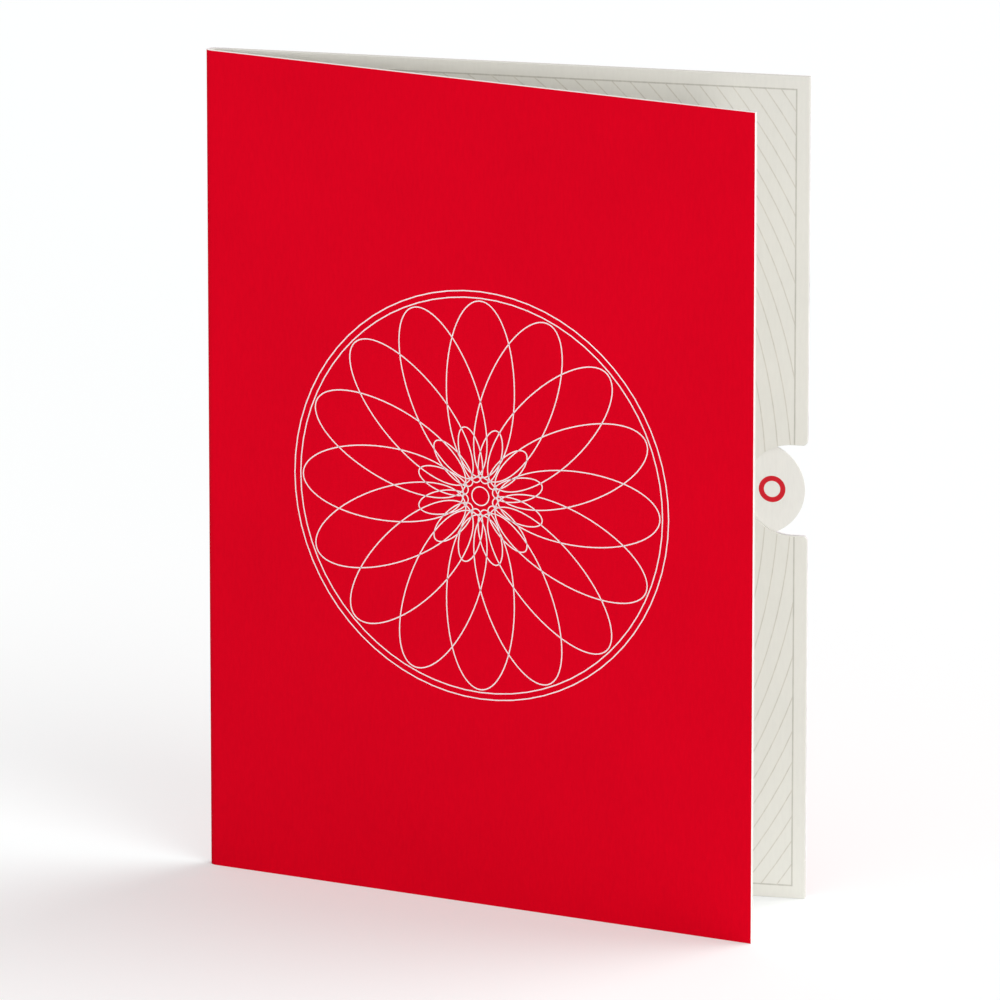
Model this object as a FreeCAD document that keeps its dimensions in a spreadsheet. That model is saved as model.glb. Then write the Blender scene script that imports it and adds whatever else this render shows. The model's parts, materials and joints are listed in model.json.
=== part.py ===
import FreeCAD, Part
import os

import Sketcher

# A folded pop-up greeting card, standing ajar on its bottom edges, with a slide-out note in its back panel.
# The back panel stands in the XZ plane, the fold is parallel to Z at the -X side, and the front panel is
# turned towards -Y. The origin is the bottom centre of the whole card. Millimetres and degrees.
SIZES = {
    # Folded sheets
    "card_width": "127",
    "card_height": "177.8",
    "open_angle": "15",
    "cover_stock": "0.45",
    "liner_stock": "0.45",
    "page_clearance": "0.5",
    # Note pocket in the back panel
    "pocket_gap": "0.7",
    "spacer_setback": "3",
    "spacer_strip": "8",
    "notch_radius": "9.85",
    "notch_inset": "3.3",
    "notch_corner": "1",
    # Slide-out note
    "note_stock": "0.35",
    "note_margin": "2",
    "note_edge_inset": "16",
    "tab_radius": "10",
    "tab_setback": "0.6",
    # Pop-up tiers, measured from the top one outwards
    "popup_stock": "0.2",
    "core_radius": "10",
    "ring_band": "8",
    "ring_gap": "5",
    "petal_bulge": "2.5",
    "tier_rise": "16",
    "ring_clearance": "0.05",
    # Centre plate and struts
    "centre_stock": "0.2",
    "centre_seat": "0.3",
    "hinge_clearance": "0.1",
    "strut_width": "8",
    "foot_clearance": "0.15",
    # Glue tabs at the struts' feet
    "foot_tab_stock": "0.12",
    "foot_tab_depth": "7",
    "foot_tab_gap": "0.3",
}

# Petals along each half tier, from the lowest and widest tier to the top one
PETALS = (10, 8, 6, 4)
TIERS = range(1, len(PETALS) + 1)

# Which way the outside of a panel faces along Y, in the panel's own frame
OUTWARD = {"back": 1, "front": -1}

doc = FreeCAD.newDocument("greeting_card")
sheet = doc.addObject("Spreadsheet::Sheet", "sizes")
for row, (alias, text) in enumerate(SIZES.items(), start=1):
    sheet.set(f"A{row}", alias.replace("_", " "))
    sheet.set(f"B{row}", text)
    sheet.setAlias(f"B{row}", alias)
doc.recompute()


def number(expression):
    """The value of an expression over the sheet's sizes."""
    value = sheet.evalExpression(expression.replace("sizes.", ""))
    return float(getattr(value, "Value", value))


# Levels of the sheets, outwards from the fold axis
PAGE = "sizes.page_clearance"
LINER_BACK = f"({PAGE} + sizes.liner_stock)"
POCKET_BACK = f"({LINER_BACK} + sizes.pocket_gap)"
COVER_INSIDE = {"back": POCKET_BACK, "front": LINER_BACK}
BACK_COVER_MIDDLE = f"({POCKET_BACK} + sizes.cover_stock / 2)"
FRONT_COVER_MIDDLE = f"({LINER_BACK} + sizes.cover_stock / 2)"
MID_HEIGHT = "(sizes.card_height / 2)"

# The cover's fold is one arc that runs out straight into both cover panels
COVER_FOLD_TURN = "(180 - sizes.open_angle)"
COVER_FOLD_RADIUS = (
    f"(({BACK_COVER_MIDDLE} * cos(sizes.open_angle) + {FRONT_COVER_MIDDLE})"
    " / (1 + cos(sizes.open_angle)))"
)
COVER_FOLD_OUTSIDE = f"({COVER_FOLD_RADIUS} + sizes.cover_stock / 2)"
FRONT_COVER_START = f"(({FRONT_COVER_MIDDLE} - {COVER_FOLD_RADIUS}) * tan(sizes.open_angle))"
COVER_START = {"back": "0", "front": FRONT_COVER_START}

# The card's corners give the place of the fold, so that the origin is the bottom centre
BACK_REACH = f"({POCKET_BACK} + sizes.cover_stock)"
FRONT_REACH = (
    f"(sizes.card_width * sin(sizes.open_angle)"
    f" + ({LINER_BACK} + sizes.cover_stock) * cos(sizes.open_angle))"
)
OPEN_ANGLE = number("sizes.open_angle")
FOLD = FreeCAD.Vector(
    (number(COVER_FOLD_OUTSIDE) - number("sizes.card_width")) / 2,
    (number(FRONT_REACH) - number(BACK_REACH)) / 2,
    0,
)


def turned(angle):
    """A rotation that opens by the angle, from the back panel towards the front one."""
    return FreeCAD.Rotation(FreeCAD.Vector(0, 0, 1), -angle)


PANEL_FRAME = {
    "back": FreeCAD.Placement(FOLD, turned(0)),
    "front": FreeCAD.Placement(FOLD, turned(OPEN_ANGLE)),
}
CENTRE_FRAME = FreeCAD.Placement(FOLD, turned(OPEN_ANGLE / 2))

pieces = []


def bind(sketch, constraints):
    """Adds constraints to a sketch, each with the expression that sets it, or None."""
    for constraint, expression in constraints:
        index = sketch.addConstraint(constraint)
        if expression is not None:
            sketch.setExpression(f"Constraints[{index}]", expression)


def at_point(geometry, vertex, across, up):
    """Constraints that put one point of a sketch at two expressions."""
    return [
        (Sketcher.Constraint("DistanceX", -1, 1, geometry, vertex, number(across)), across),
        (Sketcher.Constraint("DistanceY", -1, 1, geometry, vertex, number(up)), up),
    ]


def joined(first, first_vertex, second, second_vertex):
    """A constraint that makes two points of a sketch one."""
    return (Sketcher.Constraint("Coincident", first, first_vertex, second, second_vertex), None)


def upright_sketch(body, name, offset):
    """A sketch in the body's XZ plane, set off towards -Y by an expression."""
    sketch = body.newObject("Sketcher::SketchObject", name)
    plane = next(item for item in body.Origin.OriginFeatures if item.Role == "XZ_Plane")
    sketch.AttachmentSupport = [(plane, "")]
    sketch.MapMode = "FlatFace"
    sketch.setExpression("AttachmentOffset.Base.z", offset)
    return sketch


def draw_polygon(sketch, corners):
    """A closed outline with straight sides through corners given as pairs of expressions."""
    points = [FreeCAD.Vector(number(across), number(up), 0) for across, up in corners]
    count = len(points)
    for index in range(count):
        sketch.addGeometry(Part.LineSegment(points[index], points[(index + 1) % count]), False)
    for index, (across, up) in enumerate(corners):
        bind(sketch, [joined(index, 2, (index + 1) % count, 1), *at_point(index, 1, across, up)])


def draw_slot(sketch, centre, radius, end, aim):
    """A slot at mid height with one round end, which bulges along X as aim says, 1 or -1. Its straight
    sides run the other way, as far as end."""
    middle = FreeCAD.Vector(number(centre), number(MID_HEIGHT), 0)
    reach = number(radius)
    start = middle - FreeCAD.Vector(0, aim * reach, 0)
    tip = middle + FreeCAD.Vector(aim * reach, 0, 0)
    finish = middle + FreeCAD.Vector(0, aim * reach, 0)
    along = FreeCAD.Vector(number(end) - middle.x, 0, 0)
    arc = sketch.addGeometry(Part.Arc(start, tip, finish), False)
    outward = sketch.addGeometry(Part.LineSegment(finish, finish + along), False)
    across = sketch.addGeometry(Part.LineSegment(finish + along, start + along), False)
    inward = sketch.addGeometry(Part.LineSegment(start + along, start), False)
    bind(
        sketch,
        [
            *at_point(arc, 3, centre, MID_HEIGHT),
            (Sketcher.Constraint("Radius", arc, reach), radius),
            joined(arc, 2, outward, 1),
            joined(outward, 2, across, 1),
            joined(across, 2, inward, 1),
            joined(inward, 2, arc, 1),
            (Sketcher.Constraint("Vertical", arc, 3, arc, 1), None),
            (Sketcher.Constraint("Vertical", arc, 3, arc, 2), None),
            (Sketcher.Constraint("Horizontal", outward), None),
            (Sketcher.Constraint("Horizontal", inward), None),
            (Sketcher.Constraint("DistanceX", -1, 1, across, 1, number(end)), end),
        ],
    )


def draw_petals(sketch, tier):
    """Half a tier's outline: a row of petals, closed by a straight side along the fold."""
    count = PETALS[tier - 1]
    pitch = 180 / count
    radius = tier_radius(tier)
    half_chord = f"({radius} * sin({pitch / 2}))"
    chord_distance = f"({radius} * cos({pitch / 2}))"
    tip = f"({radius} + sizes.petal_bulge)"
    bulge = f"({tip} - {chord_distance})"
    petal_radius = f"(({half_chord}^2 + {bulge}^2) / (2 * {bulge}))"
    centre_distance = f"({tip} - {petal_radius})"
    for index in range(count):
        aim = pitch * (index + 0.5) - 90
        low, middle, high = (
            FreeCAD.Vector(number(f"{reach} * cos({angle})"), number(f"{reach} * sin({angle})"), 0)
            for reach, angle in ((radius, aim - pitch / 2), (tip, aim), (radius, aim + pitch / 2))
        )
        sketch.addGeometry(Part.Arc(low, middle, high), False)
        bind(
            sketch,
            at_point(index, 3, f"{centre_distance} * cos({aim})", f"{centre_distance} * sin({aim})"),
        )
        if index > 0:
            bind(sketch, [joined(index - 1, 2, index, 1)])
            bind(sketch, [(Sketcher.Constraint("Equal", 0, index), None)])
    first = FreeCAD.Vector(0, -number(radius), 0)
    last = FreeCAD.Vector(0, number(radius), 0)
    fold = sketch.addGeometry(Part.LineSegment(last, first), False)
    bind(
        sketch,
        [
            (Sketcher.Constraint("Radius", 0, number(petal_radius)), petal_radius),
            joined(count - 1, 2, fold, 1),
            joined(fold, 2, 0, 1),
            (Sketcher.Constraint("PointOnObject", fold, 1, -2), None),
            (Sketcher.Constraint("PointOnObject", fold, 2, -2), None),
        ],
    )


def near_face(side, outer_level, stock):
    """How far towards -Y a sheet's +Y face lies, for a sheet whose outer face is at a level."""
    return f"-({outer_level})" if side == "back" else f"({outer_level}) - {stock}"


def plate(label, side, outer_level, stock, placement):
    """An empty body for a flat sheet, with the sketch of its outline. The sheet's outer face is at a level
    outwards from the body's XZ plane, and its thickness runs inwards."""
    body = doc.addObject("PartDesign::Body", label)
    body.Placement = placement
    pieces.append(body)
    return body, upright_sketch(body, f"{label}_outline", near_face(side, outer_level, stock))


def pad(body, sketch, stock):
    """Thickens a sketch towards -Y."""
    feature = body.newObject("PartDesign::Pad", f"{sketch.Label}_sheet")
    feature.Profile = sketch
    feature.setExpression("Length", stock)
    doc.recompute()
    return feature


def cut_through(body, sketch):
    """Cuts a sketch through the whole sheet."""
    before = body.Shape.Volume
    feature = body.newObject("PartDesign::Pocket", f"{sketch.Label}_cut")
    feature.Profile = sketch
    feature.Type = "ThroughAll"
    feature.Midplane = True
    doc.recompute()
    if body.Shape.Volume >= before:
        raise RuntimeError(f"{sketch.Label} cuts nothing")
    return feature


def cut_thumb_notch(body):
    """The notch in the fore-edge that bares the note's tab, with its mouth's corners rounded."""
    sketch = upright_sketch(body, f"{body.Label}_notch", "0")
    centre = "(sizes.card_width - sizes.notch_inset)"
    draw_slot(sketch, centre, "sizes.notch_radius", "(sizes.card_width + sizes.notch_radius)", -1)
    notch = cut_through(body, sketch)
    edge_x = number("sizes.card_width")
    lips = [number(f"{MID_HEIGHT} {sign} sizes.notch_radius") for sign in "+-"]
    tolerance = 1e-4
    corners = [
        f"Edge{index}"
        for index, edge in enumerate(notch.Shape.Edges, start=1)
        if all(abs(vertex.X - edge_x) < tolerance for vertex in edge.Vertexes)
        and any(all(abs(vertex.Z - lip) < tolerance for vertex in edge.Vertexes) for lip in lips)
    ]
    if len(corners) != len(lips):
        raise RuntimeError(f"{body.Label}: the notch's mouth has {len(corners)} corners")
    rounding = body.newObject("PartDesign::Fillet", f"{body.Label}_notch_corners")
    rounding.Base = (notch, corners)
    rounding.setExpression("Radius", "sizes.notch_corner")
    doc.recompute()


def make_panel(label, side, inner_level, stock, start, notched):
    """One panel of a folded sheet, from near the fold to the fore-edge."""
    body, sketch = plate(label, side, f"{inner_level} + {stock}", stock, PANEL_FRAME[side])
    left, right, top = start, "sizes.card_width", "sizes.card_height"
    draw_polygon(sketch, [(left, "0"), (right, "0"), (right, top), (left, top)])
    pad(body, sketch, stock)
    if notched:
        cut_thumb_notch(body)


def make_crease(label, centre, inside, outside):
    """The bent strip of a folded sheet, from the back panel round the fold to the front panel."""
    placement = FreeCAD.Placement(
        FOLD + FreeCAD.Vector(0, number(centre), 0), FreeCAD.Rotation(FreeCAD.Vector(0, 0, 1), 90)
    )
    strip = doc.addObject("Part::Cylinder", f"{label}_outside")
    strip.setExpression("Angle", COVER_FOLD_TURN)
    core = doc.addObject("Part::Cylinder", f"{label}_inside")
    for cylinder, radius in ((strip, outside), (core, inside)):
        cylinder.Placement = placement
        cylinder.setExpression("Radius", radius)
        cylinder.setExpression("Height", "sizes.card_height")
    crease = doc.addObject("Part::Cut", label)
    crease.Base = strip
    crease.Tool = core
    pieces.append(crease)


def make_box(label, frame, corner, lengths):
    """A box in a frame, with its corner and its three lengths given as expressions."""
    box = doc.addObject("Part::Box", label)
    place = FreeCAD.Vector(*(number(expression) for expression in corner))
    box.Placement = FreeCAD.Placement(frame.multVec(place), frame.Rotation)
    for name, expression in zip(("Length", "Width", "Height"), lengths):
        box.setExpression(name, expression)
    return box


def make_pocket_spacer():
    """The glued strips along the spine, top and bottom that hold the back liner off the back cover."""
    strip = "sizes.spacer_strip"
    width = "(sizes.card_width - sizes.spacer_setback)"
    frame = PANEL_FRAME["back"]
    sheet_box = make_box(
        "spacer_sheet",
        frame,
        ("sizes.spacer_setback", LINER_BACK, "0"),
        (width, "sizes.pocket_gap", "sizes.card_height"),
    )
    pocket_box = make_box(
        "spacer_pocket",
        frame,
        (f"sizes.spacer_setback + {strip}", LINER_BACK, strip),
        (width, "sizes.pocket_gap", f"sizes.card_height - 2 * {strip}"),
    )
    spacer = doc.addObject("Part::Cut", "pocket_spacer")
    spacer.Base = sheet_box
    spacer.Tool = pocket_box
    pieces.append(spacer)


def make_note():
    """The note in the middle of the pocket, with a round pull tab that ends inside the fore-edge."""
    stock = "sizes.note_stock"
    outer_level = f"{LINER_BACK} + (sizes.pocket_gap + {stock}) / 2"
    body, sketch = plate("note_card", "back", outer_level, stock, PANEL_FRAME["back"])
    margin = "(sizes.spacer_strip + sizes.note_margin)"
    left = f"(sizes.spacer_setback + {margin})"
    right = "(sizes.card_width - sizes.note_edge_inset)"
    top = f"(sizes.card_height - {margin})"
    draw_polygon(sketch, [(left, margin), (right, margin), (right, top), (left, top)])
    pad(body, sketch, stock)
    tab = upright_sketch(body, "note_card_tab", near_face("back", outer_level, stock))
    tab_centre = "(sizes.card_width - sizes.tab_setback - sizes.tab_radius)"
    draw_slot(tab, tab_centre, "sizes.tab_radius", f"({right} - sizes.tab_radius)", 1)
    pad(body, tab, stock)


def tier_radius(tier):
    """Distance from a tier's centre to the valleys between its petals."""
    steps = len(PETALS) - tier
    return f"(sizes.core_radius + {steps} * (sizes.ring_band + sizes.ring_gap))"


def tier_height(tier):
    """Distance of a tier's fold from the card's fold."""
    return f"({tier} * sizes.tier_rise)"


def strut_reach(tier):
    """Distance of a tier's struts from its fold, at the middle of its band."""
    return f"({tier_radius(tier)} - sizes.ring_band / 2)"


# Tiers turn on folds beside the centre plate, and lie as far from those folds as the feet do from the pages
TIER_FOLD = "(sizes.centre_stock / 2 + sizes.hinge_clearance)"
FOOT_LEVEL = "(sizes.page_clearance - sizes.foot_clearance)"
TIER_LEVEL = f"({FOOT_LEVEL} - sizes.ring_clearance)"


def make_centre_plate():
    """The upright in the plane that halves the opening, stepped up to each tier's fold."""
    steps = [
        make_box(
            f"centre_step_{tier}",
            CENTRE_FRAME,
            ("-sizes.centre_seat", "-sizes.centre_stock / 2", f"{MID_HEIGHT} - {tier_radius(tier)}"),
            (f"{tier_height(tier)} + sizes.centre_seat", "sizes.centre_stock", f"2 * {tier_radius(tier)}"),
        )
        for tier in TIERS
    ]
    centre = doc.addObject("Part::MultiFuse", "centre_plate")
    centre.Shapes = steps
    centre.Refine = True
    pieces.append(centre)


def make_ring(side, tier):
    """One side's half of a tier: a band with petals, or a whole half flower at the top."""
    fold = FreeCAD.Vector(number(tier_height(tier)), OUTWARD[side] * number(TIER_FOLD), 0)
    placement = FreeCAD.Placement(
        CENTRE_FRAME.multVec(fold) + FreeCAD.Vector(0, 0, number(MID_HEIGHT)),
        PANEL_FRAME[side].Rotation,
    )
    stock = "sizes.popup_stock"
    body, sketch = plate(f"{side}_ring_{tier}", side, TIER_LEVEL, stock, placement)
    draw_petals(sketch, tier)
    pad(body, sketch, stock)
    if tier < len(PETALS):
        hole = upright_sketch(body, f"{body.Label}_hole", "0")
        radius = f"({tier_radius(tier)} - sizes.ring_band)"
        circle = Part.Circle(FreeCAD.Vector(0, 0, 0), FreeCAD.Vector(0, 0, 1), number(radius))
        hole.addGeometry(circle, False)
        bind(hole, [joined(0, 3, -1, 1), (Sketcher.Constraint("Radius", 0, number(radius)), radius)])
        cut_through(body, hole)


def make_strut(side, tier):
    """A strut from its foot on the page to its tier. It leans outwards a little on its way up, so that its
    outer face starts at the foot's fold and its inner face ends at the tier's fold."""
    rise, fold, stock = tier_height(tier), TIER_FOLD, "sizes.popup_stock"
    lean = number(f"atan({fold} / {rise}) + asin({stock} / sqrt({rise}^2 + {fold}^2))")
    outward = OUTWARD[side]
    foot = FreeCAD.Vector(number(strut_reach(tier)), outward * number(FOOT_LEVEL), 0)
    frame = FreeCAD.Placement(
        PANEL_FRAME[side].multVec(foot), turned(OPEN_ANGLE / 2 - outward * lean)
    )
    strut = make_box(
        f"{side}_strut_{tier}",
        frame,
        ("0", f"-{stock}" if side == "back" else "0", f"{MID_HEIGHT} - sizes.strut_width / 2"),
        (f"sqrt({rise}^2 + {fold}^2 - {stock}^2)", stock, "sizes.strut_width"),
    )
    pieces.append(strut)


def make_foot_tabs(side):
    """The glue tabs that lie on a page, one outside each strut's foot."""
    inner = f"{PAGE} - sizes.foot_tab_stock" if side == "back" else f"-({PAGE})"
    tabs = [
        make_box(
            f"{side}_foot_tab_{tier}",
            PANEL_FRAME[side],
            (f"{strut_reach(tier)} + sizes.foot_tab_gap", inner, f"{MID_HEIGHT} - sizes.strut_width / 2"),
            ("sizes.foot_tab_depth", "sizes.foot_tab_stock", "sizes.strut_width"),
        )
        for tier in TIERS
    ]
    group = doc.addObject("Part::Compound", f"{side}_foot_tabs")
    group.Links = tabs
    pieces.append(group)


# Folded cover and liner
for side in OUTWARD:
    notched = side == "back"
    make_panel(f"{side}_cover", side, COVER_INSIDE[side], "sizes.cover_stock", COVER_START[side], notched)
    make_panel(f"{side}_liner", side, PAGE, "sizes.liner_stock", "0", notched)
make_crease(
    "cover_crease",
    f"{BACK_COVER_MIDDLE} - {COVER_FOLD_RADIUS}",
    f"{COVER_FOLD_RADIUS} - sizes.cover_stock / 2",
    COVER_FOLD_OUTSIDE,
)
make_crease("liner_crease", "0", PAGE, LINER_BACK)

# Note and its pocket
make_pocket_spacer()
make_note()

# Pop-up
make_centre_plate()
for side in OUTWARD:
    make_foot_tabs(side)
    for tier in TIERS:
        make_ring(side, tier)
        make_strut(side, tier)

doc.recompute()
for item in doc.Objects:
    if "Invalid" in item.State or "Error" in item.State:
        raise RuntimeError(f"{item.Label} failed: {item.State}")
for piece in pieces:
    if piece.Shape.isNull() or not piece.Shape.isValid() or not piece.Shape.Solids:
        raise RuntimeError(f"{piece.Label} is not a valid solid")

os.makedirs("parts", exist_ok=True)
for piece in pieces:
    piece.Shape.exportStep(f"parts/{piece.Label}.step")
    print(piece.Label, len(piece.Shape.Solids), round(piece.Shape.Volume, 2))
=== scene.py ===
import json
import math

import bmesh
import bpy
from mathutils import Matrix, Vector


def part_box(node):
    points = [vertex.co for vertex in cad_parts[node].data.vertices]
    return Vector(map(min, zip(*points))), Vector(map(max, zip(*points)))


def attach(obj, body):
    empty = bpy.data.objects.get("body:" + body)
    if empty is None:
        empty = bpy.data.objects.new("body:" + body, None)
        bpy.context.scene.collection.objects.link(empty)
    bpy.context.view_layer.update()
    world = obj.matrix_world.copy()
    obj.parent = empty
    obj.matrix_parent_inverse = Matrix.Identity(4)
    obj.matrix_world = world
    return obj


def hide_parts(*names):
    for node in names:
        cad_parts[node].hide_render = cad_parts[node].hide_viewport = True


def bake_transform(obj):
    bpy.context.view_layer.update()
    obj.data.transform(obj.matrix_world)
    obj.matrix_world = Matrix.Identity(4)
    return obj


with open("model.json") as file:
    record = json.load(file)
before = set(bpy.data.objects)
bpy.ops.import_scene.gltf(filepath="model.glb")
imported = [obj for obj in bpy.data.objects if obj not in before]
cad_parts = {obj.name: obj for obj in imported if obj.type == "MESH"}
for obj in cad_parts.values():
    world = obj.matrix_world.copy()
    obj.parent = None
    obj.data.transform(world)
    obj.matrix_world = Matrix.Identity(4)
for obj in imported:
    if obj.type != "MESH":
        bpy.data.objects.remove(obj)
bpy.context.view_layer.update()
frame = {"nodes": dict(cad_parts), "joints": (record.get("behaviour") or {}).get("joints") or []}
MM = 0.001

# Places and sizes read from the frame, in metres
JOINTS = {joint["name"]: joint for joint in frame["joints"]}
FOLD = Vector(JOINTS["cover_fold"]["pos_m"])
OPEN_ANGLE = math.radians(180 - JOINTS["cover_fold"]["range_deg"][1])
LINER_LOW, LINER_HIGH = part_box("back_liner")
COVER_LOW, COVER_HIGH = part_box("back_cover")
NOTE_LOW, NOTE_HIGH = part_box("note_card")
WIDTH = COVER_HIGH.x - FOLD.x
HEIGHT = COVER_HIGH.z
MID_HEIGHT = HEIGHT / 2
COVER_STOCK = COVER_HIGH.y - COVER_LOW.y
PAGE_LEVEL = LINER_LOW.y - FOLD.y
LINER_BACK = LINER_HIGH.y - FOLD.y
COVER_INSIDE = {"back": COVER_LOW.y - FOLD.y, "front": LINER_BACK}
TURN = {"back": 0.0, "front": -OPEN_ANGLE}
OUTWARD = {"back": 1, "front": -1}

# The thumb notch in the back panel's fore-edge
NOTCH_RADIUS = 9.85 * MM
NOTCH_INSET = 3.3 * MM
NOTCH_CORNER = 1 * MM
NOTCH_CENTRE = WIDTH - NOTCH_INSET

# Printed lines: how far they sink into the paper and stand above it
LINE_SINK = 0.03 * MM
LINE_RISE = 0.012 * MM

# The liner's print: its lines, and the room it leaves at the fold and round the notch
PAGE_LINE = 0.24 * MM
PAGE_LINE_PITCH = 2.75 * MM
PAGE_FRAME_LINE = 0.31 * MM
PAGE_FRAME_INSET = 2.75 * MM
PAGE_FRAME_LIFT = 0.006 * MM
FRAME_RIGHT = WIDTH - PAGE_FRAME_INSET
FRAME_HALF_HEIGHT = MID_HEIGHT - PAGE_FRAME_INSET
PRINT_START = 1.2 * MM
NOTCH_MARGIN = 0.1 * MM

# The cover's rosette: rows of loops, each with a count, the loops' distance out, half length and half
# width in millimetres and the first one's turn in degrees, and the radii of plain circles
COVER_LINE = 0.24 * MM
ROSETTE_LOOPS = ((16, 23, 19, 8, 0), (12, 9, 6, 2.5, 15))
ROSETTE_CIRCLES = (2.0, 42.6, 44.0)

# The note's tab with its ring, and its ruled lines with their room at the note's edges
NOTE_EDGE_INSET = 16 * MM
TAB_RADIUS = 10 * MM
TAB_RING_RADIUS = 2.3 * MM
TAB_RING_LINE = 1.1 * MM
TAB_RING_OFFSET = 3 * MM
RULE_LINE = 0.3 * MM
RULE_PITCH = 8 * MM
RULE_ROOM = {"left": 10 * MM, "right": 8 * MM, "bottom": 14 * MM, "top": 20 * MM}

# The pop-up's tiers: petals of each half tier, sizes as in the solids, and the lines printed on them
PETALS = {1: 10, 2: 8, 3: 6, 4: 4}
PETAL_BULGE = 2.5 * MM
CORE_RADIUS = 10 * MM
RING_BAND = 8 * MM
RING_GAP = 5 * MM
PETAL_LINE = 0.32 * MM
PETAL_EDGE_INSET = 1.3 * MM
VEIN_INSET = 1.5 * MM
VEIN_LEAST = 2 * MM

# The camera, aimed at a point given from the fold's foot
AZIMUTH = 12.336
ELEVATION = 14.714
DISTANCE = 2.6
SENSOR_WIDTH = 36
LENS_IN_WIDTHS = 12.435
CLIP_END = 200
AIM = FOLD + Vector((65.0, -17, 88.1)) * MM

# Light: each lamp's strength, azimuth, elevation and softness; the world's strength; the floor
SUNS = {
    "key": (1.66, 120, 50, 45),
    "side_light": (0.98, 50, 40, 30),
    "fill": (0.89, 26, 4, 14),
}
WORLD_STRENGTH = 0.42
FLOOR_REACH = 20
FLOOR_DROP = 0.05 * MM
FLOOR_COLOUR = (0.95, 0.97, 0.97, 1)
FLOOR_GLOW = 0.305


# Materials


def srgb(red, green, blue):
    """A colour as it looks on a screen, 0 to 255, as linear values with alpha."""
    shares = (value / 255 for value in (red, green, blue))
    return (*(v / 12.92 if v <= 0.04045 else ((v + 0.055) / 1.055) ** 2.4 for v in shares), 1)


def add_node(tree, kind, inputs, **settings):
    """Adds a shader node; an input is either a plain value or another node's output."""
    node = tree.nodes.new(kind)
    for key, value in settings.items():
        setattr(node, key, value)
    for key, value in inputs.items():
        if isinstance(value, bpy.types.NodeSocket):
            tree.links.new(value, node.inputs[key])
        else:
            node.inputs[key].default_value = value
    return node


# Paper's look: features per metre, how far its fibres are drawn out upright, and its grain's depth
CLOUD_SCALE = 45.0
FIBRE_SCALE = 1900.0
FIBRE_SQUEEZE = (1.0, 1.0, 0.22)
GRAIN_SCALE = 3800.0
GRAIN_DEPTH = 0.03 * MM

# Noise: its detail where soft and where fine, its roughness, and the part of its range that is used
SOFT_DETAIL = 2.0
FINE_DETAIL = 3.0
NOISE_ROUGHNESS = 0.6
NOISE_LOW = 0.3
NOISE_HIGH = 0.7


def noise(tree, place, scale, detail):
    """The value of a noise texture at a place."""
    inputs = {"Vector": place, "Scale": scale, "Detail": detail, "Roughness": NOISE_ROUGHNESS}
    return add_node(tree, "ShaderNodeTexNoise", inputs).outputs["Fac"]


def share_about_one(tree, value, spread):
    """A noise's value turned into a factor from 1 - spread to 1 + spread."""
    used = {"From Min": NOISE_LOW, "From Max": NOISE_HIGH}
    ends = {"To Min": 1 - spread, "To Max": 1 + spread}
    return add_node(tree, "ShaderNodeMapRange", {"Value": value, **used, **ends}).outputs["Result"]


def paper(name, colour, mottle=0.03, fibre=0.05, relief=0.2, roughness=0.6, specular=0.25):
    """Paper or card: a colour with soft clouds and short upright fibres, and a fine raised grain."""
    material = bpy.data.materials.new(name)
    material.use_nodes = True
    tree = material.node_tree
    shader = tree.nodes["Principled BSDF"]
    shader.inputs["Roughness"].default_value = roughness
    shader.inputs["Specular IOR Level"].default_value = specular
    place = add_node(tree, "ShaderNodeTexCoord", {}).outputs["Object"]
    squeeze = {"Vector": place, "Scale": FIBRE_SQUEEZE}
    along = add_node(tree, "ShaderNodeMapping", squeeze).outputs["Vector"]
    clouds = noise(tree, place, CLOUD_SCALE, SOFT_DETAIL)
    fibres = noise(tree, along, FIBRE_SCALE, FINE_DETAIL)
    grain = noise(tree, place, GRAIN_SCALE, SOFT_DETAIL)
    share = add_node(
        tree,
        "ShaderNodeMath",
        {0: share_about_one(tree, clouds, mottle), 1: share_about_one(tree, fibres, fibre)},
        operation="MULTIPLY",
    )
    tint = add_node(
        tree, "ShaderNodeVectorMath", {0: colour[:3], "Scale": share.outputs[0]}, operation="SCALE"
    )
    tree.links.new(tint.outputs["Vector"], shader.inputs["Base Color"])
    bump = add_node(
        tree, "ShaderNodeBump", {"Height": grain, "Strength": relief, "Distance": GRAIN_DEPTH}
    )
    tree.links.new(bump.outputs["Normal"], shader.inputs["Normal"])
    return material


RED_CARD = paper("red_card", srgb(219, 1, 30), mottle=0.02, fibre=0.03, relief=0.25, specular=0.015)
CORE = paper("card_core", srgb(240, 236, 236), mottle=0.04, fibre=0.1)
LINER = paper("liner_paper", srgb(226, 224, 217), mottle=0.012, fibre=0.015)
PAGE_INK = paper("page_ink", srgb(209, 205, 195), mottle=0.03, fibre=0.08)
FRAME_INK = paper("page_frame_ink", srgb(196, 193, 184), mottle=0.03, fibre=0.08)
SPACER = paper("spacer_board", srgb(205, 202, 194))
NOTE = paper("note_paper", srgb(232, 230, 225), mottle=0.015, fibre=0.02)
NOTE_INK = paper("note_ink", srgb(206, 198, 194), mottle=0.03, fibre=0.08)
FOIL = paper("cover_foil", srgb(248, 238, 240), mottle=0.01, fibre=0.05, roughness=0.35, specular=0.5)
POPUP_RED = paper("popup_red", srgb(205, 16, 36), fibre=0.04)
POPUP_BLUSH = paper("popup_blush", srgb(238, 214, 208), fibre=0.03)


# Building blocks

SMOOTH_ANGLE = math.radians(35)
BEND_STEPS = 26
NOTCH_STEPS = 40
CORNER_STEPS = 6
MITRE_LIMIT = 0.5


def on_panel(side, x, z, level):
    """A point on a panel: x from the fold, z up, and a level outwards from the fold axis."""
    return FOLD + Matrix.Rotation(TURN[side], 3, "Z") @ Vector((x, OUTWARD[side] * level, z))


def arc(centre, radius, start, end, steps):
    """Flat points of an arc, both ends included; angles in degrees."""
    angles = (math.radians(start + (end - start) * i / steps) for i in range(steps + 1))
    return [(centre[0] + radius * math.cos(a), centre[1] + radius * math.sin(a)) for a in angles]


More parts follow.
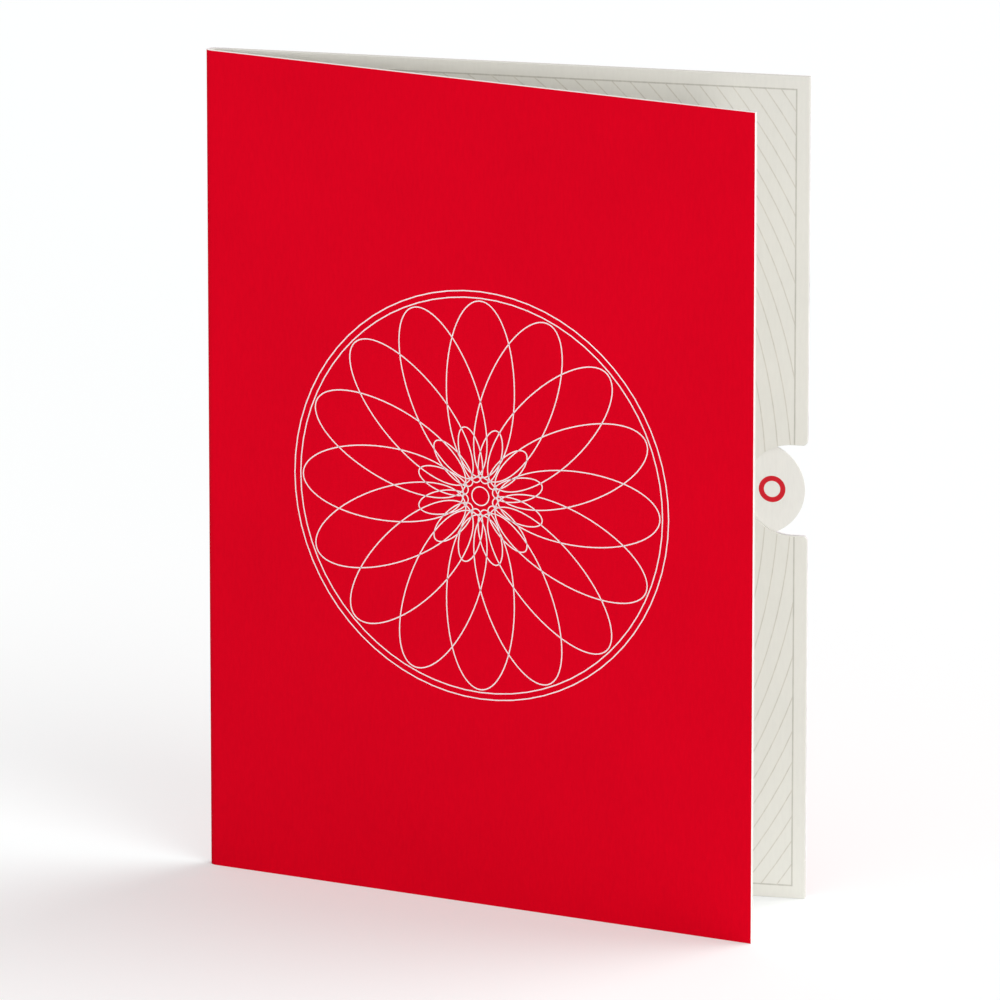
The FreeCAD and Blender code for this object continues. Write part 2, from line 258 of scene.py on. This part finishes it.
def finished(bm, name, materials):
    """Turns a built mesh into an object, smooth where its faces meet at a small angle."""
    bmesh.ops.recalc_face_normals(bm, faces=bm.faces)
    for face in bm.faces:
        face.smooth = True
    mesh = bpy.data.meshes.new(name)
    bm.to_mesh(mesh)
    bm.free()
    mesh.set_sharp_from_angle(angle=SMOOTH_ANGLE)
    for material in materials:
        mesh.materials.append(material)
    made = bpy.data.objects.new(name, mesh)
    bpy.context.scene.collection.objects.link(made)
    return made


def panel_outline(start, notched):
    """A panel's edge from its bottom corner at the fold round to its top corner at the fold."""
    low, high = MID_HEIGHT - NOTCH_RADIUS, MID_HEIGHT + NOTCH_RADIUS
    corner = WIDTH - NOTCH_CORNER
    notch = [
        *arc((corner, low - NOTCH_CORNER), NOTCH_CORNER, 0, 90, CORNER_STEPS),
        *arc((NOTCH_CENTRE, MID_HEIGHT), NOTCH_RADIUS, 270, 90, NOTCH_STEPS),
        *arc((corner, high + NOTCH_CORNER), NOTCH_CORNER, -90, 0, CORNER_STEPS),
    ]
    return [(start, 0), (WIDTH, 0), *(notch if notched else []), (WIDTH, HEIGHT), (start, HEIGHT)]


def folded_sheet(name, levels, front_start, bend_centre, bend_radii, materials):
    """One folded sheet as a closed solid: materials are its outside, its inside and its cut edges."""
    bm = bmesh.new()

    def face(corners, material):
        bm.faces.new(corners).material_index = material

    edges = {}
    for side, start in (("back", 0.0), ("front", front_start)):
        inner_level, outer_level = levels[side]
        outline = panel_outline(start, side == "back")
        outer = [bm.verts.new(on_panel(side, x, z, outer_level)) for x, z in outline]
        inner = [bm.verts.new(on_panel(side, x, z, inner_level)) for x, z in outline]
        face(outer, 0)
        face(inner, 1)
        for i in range(len(outline) - 1):
            face((outer[i], outer[i + 1], inner[i + 1], inner[i]), 2)
        edges[side] = (outer[0], outer[-1], inner[0], inner[-1])

    columns = [edges["back"]]
    for i in range(1, BEND_STEPS):
        angle = math.radians(90) + (math.pi - OPEN_ANGLE) * i / BEND_STEPS
        around = Vector((math.cos(angle), math.sin(angle), 0))
        inner_foot, outer_foot = (FOLD + bend_centre + around * radius for radius in bend_radii)
        rise = Vector((0, 0, HEIGHT))
        spots = (outer_foot, outer_foot + rise, inner_foot, inner_foot + rise)
        columns.append(tuple(bm.verts.new(spot) for spot in spots))
    columns.append(edges["front"])
    for first, second in zip(columns, columns[1:]):
        outer_low, outer_high, inner_low, inner_high = first
        next_outer_low, next_outer_high, next_inner_low, next_inner_high = second
        face((outer_low, next_outer_low, next_outer_high, outer_high), 0)
        face((inner_low, next_inner_low, next_inner_high, inner_high), 1)
        face((outer_low, next_outer_low, next_inner_low, inner_low), 2)
        face((outer_high, next_outer_high, next_inner_high, inner_high), 2)
    return finished(bm, name, materials)


def add_ribbon(bm, points, width, place, closed=False):
    """Adds a thin raised strip along flat points; place puts (x, z, rise) into the row frame."""
    spots = [Vector(point) for point in points]
    count = len(spots)
    rings = []
    for i, spot in enumerate(spots):
        before = spots[i - 1] if closed or i else None
        after = spots[(i + 1) % count] if closed or i < count - 1 else None
        into = (spot - before).normalized() if before else (after - spot).normalized()
        out = (after - spot).normalized() if after else into
        along = (into + out).normalized()
        reach = width / 2 / max(MITRE_LIMIT, along.dot(into))
        across = Vector((-along.y, along.x)) * reach
        corners = ((1, -LINE_SINK), (-1, -LINE_SINK), (-1, LINE_RISE), (1, LINE_RISE))
        rings.append([bm.verts.new(place(*(spot + across * sign), rise)) for sign, rise in corners])
    pairs = list(zip(rings, rings[1:])) + ([(rings[-1], rings[0])] if closed else [])
    for first, second in pairs:
        for corner in range(4):
            following = (corner + 1) % 4
            bm.faces.new((first[corner], first[following], second[following], second[corner]))
    if not closed:
        bm.faces.new(rings[0])
        bm.faces.new(rings[-1])


def printed(name, body, lines, width, place, material, closed=False):
    """One piece of printed lines that moves with a body."""
    bm = bmesh.new()
    for line in lines:
        add_ribbon(bm, line, width, place, closed)
    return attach(finished(bm, name, [material]), body)


# The folded cover and its liner, each one sheet across the fold

cosine = math.cos(OPEN_ANGLE)
back_middle = COVER_INSIDE["back"] + COVER_STOCK / 2
front_middle = COVER_INSIDE["front"] + COVER_STOCK / 2
bend_radius = (back_middle * cosine + front_middle) / (1 + cosine)
bend_rise = back_middle - bend_radius
cover = folded_sheet(
    "card_cover",
    {side: (level, level + COVER_STOCK) for side, level in COVER_INSIDE.items()},
    -bend_rise * math.sin(OPEN_ANGLE),
    Vector((0, bend_rise, 0)),
    (bend_radius - COVER_STOCK / 2, bend_radius + COVER_STOCK / 2),
    [RED_CARD, CORE, CORE],
)
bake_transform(cover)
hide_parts("back_cover", "front_cover", "cover_crease")

liner = folded_sheet(
    "card_liner",
    {side: (PAGE_LEVEL, LINER_BACK) for side in OUTWARD},
    0.0,
    Vector((0, 0, 0)),
    (PAGE_LEVEL, LINER_BACK),
    [CORE, LINER, LINER],
)
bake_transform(liner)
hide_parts("back_liner", "front_liner", "liner_crease")


# The liner's print: a frame line open at the fold, and rings of fine lines about the fold's middle

RING_STEP_DEGREES = 2
NOTCH_SEARCH_DEGREES = 0.02


def page_place(side, lift=0.0):
    """Puts points onto the inside of a panel."""
    return lambda x, z, rise: on_panel(side, x, z, PAGE_LEVEL - rise - lift)


def in_notch(x, z):
    """Whether a point of the back page is in the thumb notch or its margin."""
    margin = NOTCH_RADIUS + NOTCH_MARGIN
    z -= MID_HEIGHT
    if x > NOTCH_CENTRE:
        return abs(z) < margin
    return math.hypot(x - NOTCH_CENTRE, z) < margin


def ring_spans(radius, notched):
    """The angles, in degrees either side of level, over which a ring of the print is inside the frame."""
    first = math.degrees(math.acos(min(1, FRAME_RIGHT / radius)))
    top = math.asin(min(1, FRAME_HALF_HEIGHT / radius))
    last = math.degrees(min(top, math.acos(PRINT_START / radius)))
    while notched and in_notch(*arc((0, MID_HEIGHT), radius, first, first, 1)[0]):
        first += NOTCH_SEARCH_DEGREES
    if first >= last:
        return []
    return [(first, last), (-last, -first)] if first else [(-last, last)]


for side in OUTWARD:
    notched = side == "back"
    rings = []
    radius = PAGE_LINE_PITCH
    while radius < math.hypot(FRAME_RIGHT, FRAME_HALF_HEIGHT):
        for start, end in ring_spans(radius, notched):
            steps = max(2, round((end - start) / RING_STEP_DEGREES))
            rings.append(arc((0, MID_HEIGHT), radius, start, end, steps))
        radius += PAGE_LINE_PITCH
    printed(f"{side}_page_rings", side, rings, PAGE_LINE, page_place(side), PAGE_INK)

    frame_low = MID_HEIGHT - FRAME_HALF_HEIGHT
    notch_low = MID_HEIGHT - (NOTCH_RADIUS + NOTCH_MARGIN)
    low = [(PRINT_START, frame_low), (FRAME_RIGHT, frame_low), (FRAME_RIGHT, notch_low)]
    high = [(x, HEIGHT - z) for x, z in reversed(low)]
    frame_lines = [low, high] if notched else [low[:2] + high[1:]]
    place = page_place(side, PAGE_FRAME_LIFT)
    printed(f"{side}_page_frame", side, frame_lines, PAGE_FRAME_LINE, place, FRAME_INK)


# The cover's design: a round rosette of overlapping loops in fine pale lines

LOOP_STEPS = 72


def loop(reach, long, short, turn):
    """An ellipse whose middle is a distance out from the rosette's middle, turned about it."""
    swing = Matrix.Rotation(math.radians(turn), 2)
    angles = (math.radians(360 / LOOP_STEPS * i) for i in range(LOOP_STEPS))
    return [swing @ Vector((reach + long * math.cos(a), short * math.sin(a))) for a in angles]


def cover_place(x, z, rise):
    """Puts points, given from the middle of the front cover, onto its outside."""
    level = COVER_INSIDE["front"] + COVER_STOCK + rise
    return on_panel("front", WIDTH / 2 + x, MID_HEIGHT + z, level)


loops = []
for count, reach, long, short, first_turn in ROSETTE_LOOPS:
    for i in range(count):
        loops.append(loop(reach * MM, long * MM, short * MM, first_turn + 360 / count * i))
for radius in ROSETTE_CIRCLES:
    loops.append(loop(0, radius * MM, radius * MM, 0))
printed("cover_rosette", "front", loops, COVER_LINE, cover_place, FOIL, closed=True)


# The note: ruled lines to write on and a plain ring on its tab

TAB_RING_STEPS = 48


def note_place(x, z, rise):
    """Puts points, given from the fold, onto the note's front."""
    return Vector((FOLD.x + x, NOTE_LOW.y - rise, z))


rule_left = NOTE_LOW.x - FOLD.x + RULE_ROOM["left"]
rule_right = WIDTH - NOTE_EDGE_INSET - RULE_ROOM["right"]
rule_height = NOTE_LOW.z + RULE_ROOM["bottom"]
rules = []
while rule_height < NOTE_HIGH.z - RULE_ROOM["top"]:
    rules.append([(rule_left, rule_height), (rule_right, rule_height)])
    rule_height += RULE_PITCH
printed("note_rules", "note", rules, RULE_LINE, note_place, NOTE_INK)

tab_centre = NOTE_HIGH.x - FOLD.x - TAB_RADIUS
ring_middle = (tab_centre + TAB_RING_OFFSET, MID_HEIGHT)
last_angle = 360 - 360 / TAB_RING_STEPS
tab_ring = arc(ring_middle, TAB_RING_RADIUS, 0, last_angle, TAB_RING_STEPS - 1)
printed("note_tab_mark", "note", [tab_ring], TAB_RING_LINE, note_place, POPUP_RED, closed=True)


# The lines printed on the pop-up's petals

PETAL_EDGE_STEPS = 16


def petal_place(side, tier):
    """Puts points onto the face of a tier that shows when the card is open."""
    hinge = Vector(JOINTS[f"{side}_ring_{tier}_turn"]["pos_m"])
    back_hinge = Vector(JOINTS[f"back_ring_{tier}_turn"]["pos_m"])
    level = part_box(f"back_ring_{tier}")[0].y - back_hinge.y
    turn = Matrix.Rotation(TURN[side], 3, "Z")
    return lambda x, z, rise: hinge + turn @ Vector((x, OUTWARD[side] * (level - rise), z + MID_HEIGHT))


def petal_lines(tier):
    """A line inside each petal's edge and a short vein down its middle."""
    radius = CORE_RADIUS + (len(PETALS) - tier) * (RING_BAND + RING_GAP)
    pitch = math.pi / PETALS[tier]
    vein = (max(VEIN_LEAST, radius - RING_BAND + VEIN_INSET), radius - VEIN_INSET)
    lines = []
    for index in range(PETALS[tier]):
        start = index * pitch - math.pi / 2
        edge = []
        for step in range(1, PETAL_EDGE_STEPS):
            share = step / PETAL_EDGE_STEPS
            reach = radius - PETAL_EDGE_INSET + PETAL_BULGE * 4 * share * (1 - share)
            angle = start + pitch * share
            edge.append((reach * math.cos(angle), reach * math.sin(angle)))
        middle = start + pitch / 2
        lines.append(edge)
        lines.append([(reach * math.cos(middle), reach * math.sin(middle)) for reach in vein])
    return lines


for tier in PETALS:
    ink = POPUP_BLUSH if tier % 2 else POPUP_RED
    for side in OUTWARD:
        ring = f"{side}_ring_{tier}"
        printed(f"{ring}_print", ring, petal_lines(tier), PETAL_LINE, petal_place(side, tier), ink)


# Materials of the nodes that are shown as they are

node_materials = {
    "pocket_spacer": SPACER,
    "note_card": NOTE,
    "centre_plate": POPUP_BLUSH,
    "back_foot_tabs": POPUP_BLUSH,
    "front_foot_tabs": POPUP_BLUSH,
}
for tier in PETALS:
    for side in OUTWARD:
        node_materials[f"{side}_ring_{tier}"] = POPUP_RED if tier % 2 else POPUP_BLUSH
        node_materials[f"{side}_strut_{tier}"] = POPUP_BLUSH
for node, material in node_materials.items():
    mesh = frame["nodes"][node].data
    mesh.materials.clear()
    mesh.materials.append(material)


# Camera, floor and light


def direction(azimuth, elevation):
    """The way from the card towards a camera or lamp; angles in degrees, an azimuth of 0 is in front."""
    turn = math.radians(azimuth)
    rise = math.radians(elevation)
    return Vector((math.sin(turn) * math.cos(rise), -math.cos(turn) * math.cos(rise), math.sin(rise)))


def floor_material():
    """Matte white; to the camera a share of it is plain white, which lightens the shadow on it."""
    material = bpy.data.materials.new("floor")
    material.use_nodes = True
    tree = material.node_tree
    shader = tree.nodes["Principled BSDF"]
    shader.inputs["Base Color"].default_value = FLOOR_COLOUR
    shader.inputs["Specular IOR Level"].default_value = 0
    shader.inputs["Roughness"].default_value = 1
    white = add_node(tree, "ShaderNodeEmission", {"Strength": 1.0})
    path = add_node(tree, "ShaderNodeLightPath", {})
    seen = add_node(
        tree,
        "ShaderNodeMath",
        {0: path.outputs["Is Camera Ray"], 1: path.outputs["Is Glossy Ray"]},
        operation="MAXIMUM",
    )
    share = add_node(tree, "ShaderNodeMath", {0: seen.outputs[0], 1: FLOOR_GLOW}, operation="MULTIPLY")
    mix = add_node(
        tree,
        "ShaderNodeMixShader",
        {0: share.outputs[0], 1: shader.outputs["BSDF"], 2: white.outputs["Emission"]},
    )
    tree.links.new(mix.outputs["Shader"], tree.nodes["Material Output"].inputs["Surface"])
    return material


def sun(name, strength, azimuth, elevation, softness):
    """A distant lamp; softness is how wide it looks, in degrees."""
    lamp = bpy.data.lights.new(name, "SUN")
    lamp.energy = strength
    lamp.angle = math.radians(softness)
    made = bpy.data.objects.new(name, lamp)
    made.rotation_mode = "QUATERNION"
    made.rotation_quaternion = direction(azimuth, elevation).to_track_quat("Z", "Y")
    return made


towards_camera = direction(AZIMUTH, ELEVATION)
camera = bpy.data.objects.new("camera", bpy.data.cameras.new("camera"))
camera.data.sensor_width = SENSOR_WIDTH
camera.data.lens = SENSOR_WIDTH * LENS_IN_WIDTHS
camera.data.clip_end = CLIP_END
camera.location = AIM + towards_camera * DISTANCE
camera.rotation_mode = "QUATERNION"
camera.rotation_quaternion = (-towards_camera).to_track_quat("-Z", "Y")

floor_mesh = bpy.data.meshes.new("floor")
signs = ((-1, -1), (1, -1), (1, 1), (-1, 1))
corners = [(FLOOR_REACH * x, FLOOR_REACH * y, -FLOOR_DROP) for x, y in signs]
floor_mesh.from_pydata(corners, [], [(0, 1, 2, 3)])
floor_mesh.materials.append(floor_material())
floor = bpy.data.objects.new("floor", floor_mesh)

suns = [sun(name, *settings) for name, settings in SUNS.items()]
world = bpy.data.worlds.new("world")
world.use_nodes = True
background = world.node_tree.nodes["Background"]
background.inputs["Color"].default_value = (1, 1, 1, 1)
background.inputs["Strength"].default_value = WORLD_STRENGTH
scene = bpy.context.scene
scene.world = world
scene.camera = camera
scene.view_settings.view_transform = "Standard"
for made in (camera, floor, *suns):
    scene.collection.objects.link(made)
